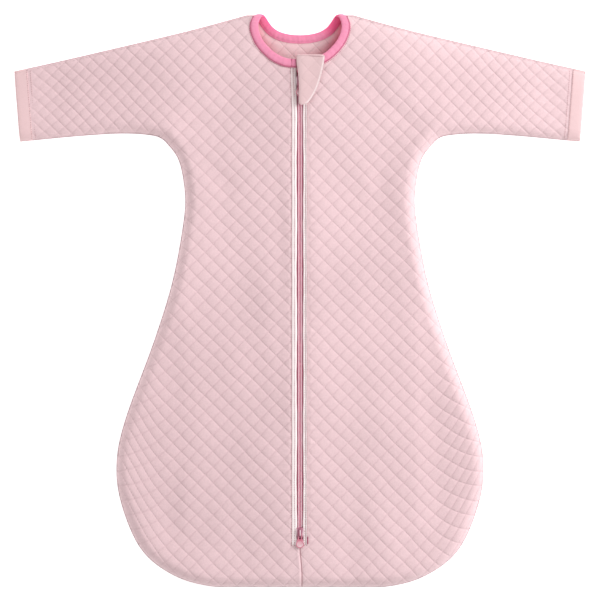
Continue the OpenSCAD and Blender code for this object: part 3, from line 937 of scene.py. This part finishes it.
def make_placket(side, sign, front, area):
    """The folded edge beside the zip, from the gap to the line of topstitching."""
    first, last = PLACKET_X, abs(STITCH_X[side]) - 0.4 * MM
    y = np.arange(ZIP_LOW, FRONT_NECK[0, 1] + 1 * MM, 1.5 * MM)
    c, s = circle(40)
    px, pz = -squared(c, 0.6), squared(s, 0.7)
    groove = 0.18 if sign < 0 else 0.3
    ridges = 0.75 * bell(px, -0.5, 0.38) + 0.6 * bell(px, 0.7, 0.26)
    ridges -= 0.5 * bell(px, groove, 0.12)
    sections = []
    for r in y:
        near = first + (0.3 * math.sin(r * 47) + 0.15 * math.sin(r * 180)) * MM * (px < 0)
        drift = -placket_drift(r) if sign < 0 else 0
        width = near + (last - near) * (px + 1) / 2 + drift * (0.5 + 0.5 * px)
        wave = 0.12 * MM * math.sin(r * 420) + 0.1 * MM * math.sin(r * 173 + 1)
        height = pz * 1.35 * MM + np.where(pz > 0, ridges * MM + wave, 0)
        sections.append(np.stack([width * sign, height], 1)[::sign])
    piece = sweep(f"placket_edge_{side}", *straight(y, LIE - 1.7 * MM), sections, PALE)
    # Painted shade along the placket's groove and its outer edge, and over the top of the left placket beside
    # the flap.
    lines = (0.85 * bell(px, groove, 0.13) + 0.5 * bell(px, -1, 0.06))[::sign]
    top_shade = 0.25 * smoothstep((y - 0.245) / 0.03) * (sign < 0)
    painted_shade = np.clip(lines[None] + top_shade[:, None], 0, 1).ravel()
    mark(piece, "painted_light", painted_shade)
    kept(piece, "bag", [])
    rows = np.arange(ZIP_LOW, ZIP_HIGH, 2 * MM)
    shift = placket_drift(rows) * 0.6 if sign < 0 else 0
    line = np.stack([STITCH_X[side] + 0.3 * MM * np.sin(rows * 60) + shift, rows, 0 * rows + LIE - 0.15 * MM], 1)
    inner = line + np.array([-sign * 0.62 * (last - first), 0, 0.15 * MM])
    thread = stitches(f"placket_stitches_{side}", [line, inner], THREAD)
    kept(thread, "bag", [f"placket_stitching_{side}"])


def make_tape(side, sign):
    """A woven tape with a corded inner edge."""
    y = np.arange(ZIP_LOW, ZIP_HIGH + 1e-6, 4 * MM)
    profile = [(0.35, -0.55), (0.2, -0.3), (0.35, -0.05), (3.0, -0.05), (3.4, 0.1), (3.8, 0.1), (4.2, -0.05),
               (12.8, -0.1), (13.0, -0.4), (12.8, -0.75), (0.6, -0.75)]
    section = (np.array(profile) * MM * [sign, 1])[::sign]
    piece = sweep(f"zip_tape_{side}_weave", *straight(y, TAPE_TOP), section, TAPE)
    kept(piece, "bag", [f"zip_tape_{side}"])


def make_coil(side, sign):
    """One half of the coil: a flattened helix of nylon, half a turn out of step with the other half."""
    pitch, steps, wire = 1.25 * MM, 10, 0.46 * MM
    low, high = (corner.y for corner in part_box(f"zip_coil_{side}"))
    turns = int((high - low) / pitch)
    k = np.arange(turns * steps + 1)
    angle = 2 * math.pi * k / steps + (math.pi if sign < 0 else 0)
    path = np.stack([sign * (1.68 + 1.35 * np.cos(angle)) * MM, low + pitch * k / steps,
                     TAPE_TOP + (1.15 + 0.75 * np.sin(angle)) * MM], 1)
    ahead = unit(np.gradient(path, axis=0))
    across = unit(np.cross(ahead, [0, 1.0, 0]))
    section = np.stack(circle(6), 1) * wire
    piece = sweep(f"zip_coil_{side}_loops", path, across, np.cross(across, ahead), section, COIL)
    # Painted highlight along the tops of the coil's loops.
    top_highlight = np.repeat(ease(path[:, 2] - TAPE_TOP, 1.5, 0.4), 6)
    mark(piece, "rim", top_highlight)
    kept(piece, "bag", [f"zip_coil_{side}"])


def rounded_slab(outline, low, high, edge):
    """Points and faces of a slab with rounded rims, from an outline that runs counter-clockwise."""
    line = np.asarray(outline, float)
    ahead = np.roll(line, -1, 0) - np.roll(line, 1, 0)
    normal = np.stack([ahead[:, 1], -ahead[:, 0]], 1) / np.linalg.norm(ahead, axis=1)[:, None]
    turn = [math.pi / 2 * k / 4 for k in range(5)]
    steps = [(edge * (1 - math.sin(a)), edge * (1 - math.cos(a))) for a in turn]
    layers = [(low + rise, inset) for rise, inset in steps[::-1]]
    layers += [(high - rise, inset) for rise, inset in steps]
    m = len(line)
    rings = [join([line - normal * inset, np.full((m, 1), z)], 1) for z, inset in layers]
    return join(rings), tube_faces(len(rings), m)


def oval(width, length, power, count=48, taper=0.0):
    c, s = circle(count)
    x, y = squared(c, power) * width / 2, squared(s, power) * length / 2
    return np.stack([x * (1 + taper * y / length), y], 1)


def joined_piece(name, parts, material):
    points, faces, start = [], [], 0
    for p, f in parts:
        points.append(np.asarray(p, float))
        faces += [tuple(i + start for i in face) for face in f]
        start += len(p)
    return new_piece(name, join(points), faces, material)


def make_slider(which):
    body, crown, spring = (f"{which}_slider_{part}" for part in ("body", "crown", "spring"))
    low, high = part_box(body)
    y = (low.y + high.y) / 2
    top, bottom = high.z, low.z
    plate_z = top - 1.2 * MM
    length, width = high.y - low.y, high.x - low.x
    upper = rounded_slab(oval(width, length, 0.62, taper=0.22) + [0, y], plate_z, top - 0.35 * MM, 0.55 * MM)
    dome = rounded_slab(oval(5.6 * MM, length * 0.8, 0.8) + [0, y], top - 0.8 * MM, top, 0.35 * MM)
    lower = rounded_slab(oval(8.6 * MM, length - 1 * MM, 0.62, taper=0.22) + [0, y], bottom,
                         bottom + 1.2 * MM, 0.5 * MM)
    wedge = rounded_slab(oval(0.56 * MM, 5 * MM, 0.9, 16) + [0, y], bottom + 0.6 * MM,
                         plate_z + 0.5 * MM, 0.1 * MM)
    parts = [upper, dome, lower, wedge]
    shell = joined_piece(f"{which}_slider_shell", parts, SLIDER)
    spot = join([part[0] for part in parts])
    # Painted highlight along the sides of the top plate.
    mark(shell, "rim", bell(np.abs(spot[:, 0]), 0.46 * width, 0.5 * MM) * (spot[:, 2] > plate_z))
    kept(shell, f"{which}_slider", [body])
    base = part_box(crown)[0].z
    arch = [(-4.5, 0), (-4.6, 1.6), (-4.1, 3.0), (-2.9, 3.8), (0, 4.0), (2.9, 3.7), (4.2, 2.6), (4.6, 1.2),
            (4.5, 0), (3.3, 0), (3.3, 1.4), (2.6, 2.3), (0, 2.5), (-2.6, 2.4), (-3.3, 1.6), (-3.3, 0)]
    arch = [(a * MM, b * MM) for a, b in arch][::-1]
    points, faces = rounded_slab(arch, -1.2 * MM, 1.2 * MM, 0.3 * MM)
    points = points[:, [2, 0, 1]] + [0, y, base]  # the slab is drawn flat and stood on its side
    bridge = new_piece(f"{which}_slider_bridge", points, faces, SLIDER)
    # Painted highlight along the top of the crown.
    crown_highlight = 0.9 * ease(points[:, 2] - base, 2.4, 1.2)
    mark(bridge, "rim", crown_highlight * (np.abs(points[:, 0] - 0.8 * MM) < 1.6 * MM))
    kept(bridge, f"{which}_slider", [crown])
    leaf_low, leaf_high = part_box(spring)
    leaf = oval(leaf_high.x - leaf_low.x, leaf_high.y - leaf_low.y, 0.4, 24)
    strip = rounded_slab(leaf + [0, (leaf_low.y + leaf_high.y) / 2], leaf_low.z, leaf_high.z, 0.08 * MM)
    kept(new_piece(f"{which}_slider_leaf", *strip, STEEL), f"{which}_slider", [spring])


def make_pull(which):
    """A teardrop tab with a raised rim and a slot that clears the crown."""
    pivot = PIVOTS[f"{which}_pull_turn"]
    low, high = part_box(f"{which}_pull_tab")
    end = low.y - pivot.y
    width = high.x - low.x
    right = curve([(0, end / MM), (width / MM * 0.3, end / MM + 1.0), (width / MM * 0.5, end / MM + 5.4),
                   (width / MM * 0.42, end / MM + 9), (3.3, -6.6), (2.7, -3.4), (2.7, 0), (2.45, 1.3),
                   (1.8, 1.2), (1.6, 0.2), (1.55, -3), (1.5, -6.2), (1.0, -7.0), (0, -7.2)], 4)
    left = right[::-1][1:-1] * [-1, 1]
    outline = join([right, left]) + [0, pivot.y]
    slab = rounded_slab(outline, pivot.z - 0.65 * MM, pivot.z + 0.65 * MM, 0.24 * MM)
    ring = oval(width * 0.84, 9.6 * MM, 1.0, 44, taper=-0.1) + [0, end + 5.7 * MM]
    ring3 = join([ring + [0, pivot.y], np.full((len(ring), 1), pivot.z + 0.65 * MM)], 1)
    m = len(ring3)
    ahead = np.roll(ring3, -1, 0) - np.roll(ring3, 1, 0)
    out = unit(np.cross(ahead, [0, 0, 1.0]))
    bead = []
    for a in np.arange(6) * math.pi / 3:
        bead.append(ring3 + out * math.cos(a) * 0.6 * MM + np.array([0, 0, 1.0]) * math.sin(a) * 0.3 * MM)
    bead = np.stack(bead, 1).reshape(-1, 3)
    bead_faces = [(i * 6 + k, i * 6 + (k + 1) % 6, ((i + 1) % m) * 6 + (k + 1) % 6, ((i + 1) % m) * 6 + k)
                  for i in range(m) for k in range(6)]
    turn = np.linspace(0, 2 * math.pi, 16, endpoint=False)
    pin = [(x, pivot.y + 0.7 * MM * math.cos(t), pivot.z + 0.7 * MM * math.sin(t))
           for x in (-1.7 * MM, 1.7 * MM) for t in turn]
    piece = joined_piece(f"{which}_pull_drop", [slab, (bead, bead_faces), (pin, tube_faces(2, 16))], PULL)
    neck = ease(slab[0][:, 1] - pivot.y, -10.5, 3)
    mark(piece, "rim", join([neck, np.ones(len(bead) + len(pin))]))
    kept(piece, f"{which}_pull", [f"{which}_pull_tab"])


def make_zip_ends():
    for node in ("zip_top_stops", "zip_bottom_stop"):
        low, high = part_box(node)
        parts = []
        spans = ((low.x, -0.6 * MM), (0.6 * MM, high.x)) if node == "zip_top_stops" else ((low.x, high.x),)
        for a, b in spans:
            shape = oval(b - a, high.y - low.y, 0.5, 32) + [(a + b) / 2, (low.y + high.y) / 2]
            parts.append(rounded_slab(shape, low.z, high.z, 0.3 * MM))
        kept(joined_piece(f"{node}_moulded", parts, COIL), "bag", [node])
    low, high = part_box("zip_end_bartack")
    ends = (low.y, high.y)
    rows = [np.array([(low.x + k * 0.45 * MM, end, LIE + 0.1 * MM) for end in ends]) for k in range(3)]
    tack = stitches("zip_end_bartack_thread", rows, THREAD_DEEP, pitch=1.4 * MM, length=1.6 * MM,
                    radius=0.3 * MM)
    kept(tack, "bag", ["zip_end_bartack"])
    rows = np.arange(-HALF_LENGTH + 6 * MM, ZIP_LOW - 3 * MM, 3 * MM)
    seam = on_front([(seam_x(y), y) for y in rows], -0.5 * MM)
    thread = stitches("centre_front_seam_thread", [seam], THREAD, radius=0.25 * MM)
    kept(thread, "bag", ["centre_front_seam"])
    low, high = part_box("inner_zip_guard")
    y = np.arange(low.y, high.y + 1e-6, 4 * MM)
    c, s = circle(28)
    section = np.stack([squared(c, 0.4) * (high.x - low.x) / 2, squared(s, 0.6) * (high.z - low.z) / 2], 1)
    lying = straight(y, (low.z + high.z) / 2 + 0.25 * MM * np.sin(y * 90), -1.0)
    guard = sweep("zip_guard_cloth", *lying, section, LINING)
    kept(guard, "bag", ["inner_zip_guard"])


# ---- chin flap


def make_flap():
    """A padded flap that folds down from the neck edge over the upper slider."""
    left = curve([(-4.4, 317), (-3.4, 302), (-1.8, 286), (-1.2, 270), (-1.2, 257), (0, 253.6), (3, 253)], 10)
    right = curve([(32, 317), (31.3, 309), (27.6, 292), (22.3, 275.5), (14.5, 261), (8.5, 254.6),
                   (3, 253)], 10)
    top_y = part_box("chin_flap")[1].y
    rows = row_values(253.1 * MM, top_y - 0.2 * MM, 1.3 * MM)
    low_line, high_line = left[::-1], right[::-1]

    def edge_gap(x, y):
        return gap_to(join([left, right[-2::-1]]), x, y)

    def height(x, y):
        gap = edge_gap(x, y)
        over_slider = bell(x, 0, 13 * MM)
        root = smoothstep((y - (top_y - 9 * MM)) / (9 * MM))
        base = LIE + 3.9 * MM + 3.4 * MM * over_slider + 0.5 * MM * ripple(x * 3, y * 3, 5)
        return base + 0.4 * MM * (quilting(x, y, 5) - 0.8) * ease(gap, 0, 5) - 0.5 * MM * root

    def thick(x, y):
        return 2.3 * MM * np.sqrt(1 - (1 - np.clip(edge_gap(x, y) / (2.6 * MM), 0, 1)) ** 2)

    x, y, faces = region(lambda r: on_curve(low_line, r, 1, 0), lambda r: on_curve(high_line, r, 1, 0),
                         rows, 1.3 * MM)
    piece = cloth("chin_flap_cloth", x, y, faces, lambda a, b: height(a, b) + thick(a, b) / 2 - 0.4 * MM,
                  lambda a, b: height(a, b) - thick(a, b) / 2 - 0.4 * MM, FLAP,
                  seed=5, fade=lambda a, b: ease(edge_gap(a, b), 2, 4) * 0.45)
    # Painted highlight along the flap's right edge.
    rim = 0.6 * bell(gap_to(right, x, y), 1 * MM, 0.9 * MM) * (gap_to(left, x, y) > 4 * MM)
    mark(piece, "painted_light", np.tile(rim, 2))
    kept(piece, "flap", ["chin_flap"])
    1.03 * plan_area(x, y, faces)
    arc = np.array([(316.6, 31.5), (317.4, 30.2), (316.5, 28.0), (314.5, 25.0), (311, 22.2), (305, 20.6),
                    (298, 20.4)])
    mid = curve(np.column_stack([0 * arc[:, 0] + 13.7, arc]), 4)
    across = np.tile([1.0, 0, 0], (len(mid), 1))
    up = np.cross(unit(np.gradient(mid, axis=0)), across)
    c, s = circle(24)
    sections = []
    for k in range(len(mid)):
        narrow = 1 - 0.25 * smoothstep(k / len(mid))
        sections.append(np.stack([-squared(c, 0.4) * 17.8 * MM * narrow, squared(s, 0.6) * 1.1 * MM], 1))
    root = sweep("chin_flap_root", mid, across, up, sections, LINING)
    kept(root, "bag", [])


# ---- stage


def make_stage():
    floor_mesh = bpy.data.meshes.new("floor")
    size = 30.0
    corners = [(-size, -size, 0), (size, -size, 0), (size, size, 0), (-size, size, 0)]
    floor_mesh.from_pydata(corners, [], [(0, 1, 2, 3)])
    floor = placed("floor", floor_mesh)
    floor.location.z = -0.3 * MM
    paper = bpy.data.materials.new("pale_floor")
    paper.use_nodes = True
    fill(paper.node_tree.nodes["Principled BSDF"],
         {"Base Color": (0.95, 0.95, 0.95, 1), "Roughness": 0.9, "Specular IOR Level": 0.1,
          "Emission Color": (1, 1, 1, 1), "Emission Strength": 0.6})
    floor_mesh.materials.append(paper)
    world = bpy.data.worlds.new("studio")
    bpy.context.scene.world = world
    world.use_nodes = True
    fill(world.node_tree.nodes["Background"], {"Color": (1, 0.995, 0.99, 1), "Strength": 0.54})
    lamps = (("key", (2.0, 0.75, 1.7), 1.7, 58.5), ("fill", (-1.7, 0.3, 1.5), 1.6, 7))
    for name, place, size, power in lamps:
        data = bpy.data.lights.new(name, "AREA")
        data.size = size
        data.energy = power
        lamp = placed(name, data)
        lamp.location = place
        lamp.rotation_euler = (-Vector(place)).to_track_quat("-Z", "Y").to_euler()
    data = bpy.data.cameras.new("camera")
    data.lens = 250
    data.sensor_width = 36
    camera = placed("camera", data)
    half_view = 0.3906
    camera.location = (0, 0, half_view / (data.sensor_width / 2 / data.lens) + LIE * 0.3)
    bpy.context.scene.camera = camera
    bpy.context.scene.view_settings.view_transform = "Standard"


make_stage()
for side, sign in SIDES:
    front, area = make_front(side, sign)
    make_sleeve(side, sign)
    make_cuff(side, sign)
    make_placket(side, sign, front, area)
    make_tape(side, sign)
    make_coil(side, sign)
make_back()
make_binding()
make_zip_ends()
for which in ("upper", "lower"):
    make_slider(which)
    make_pull(which)
make_flap()
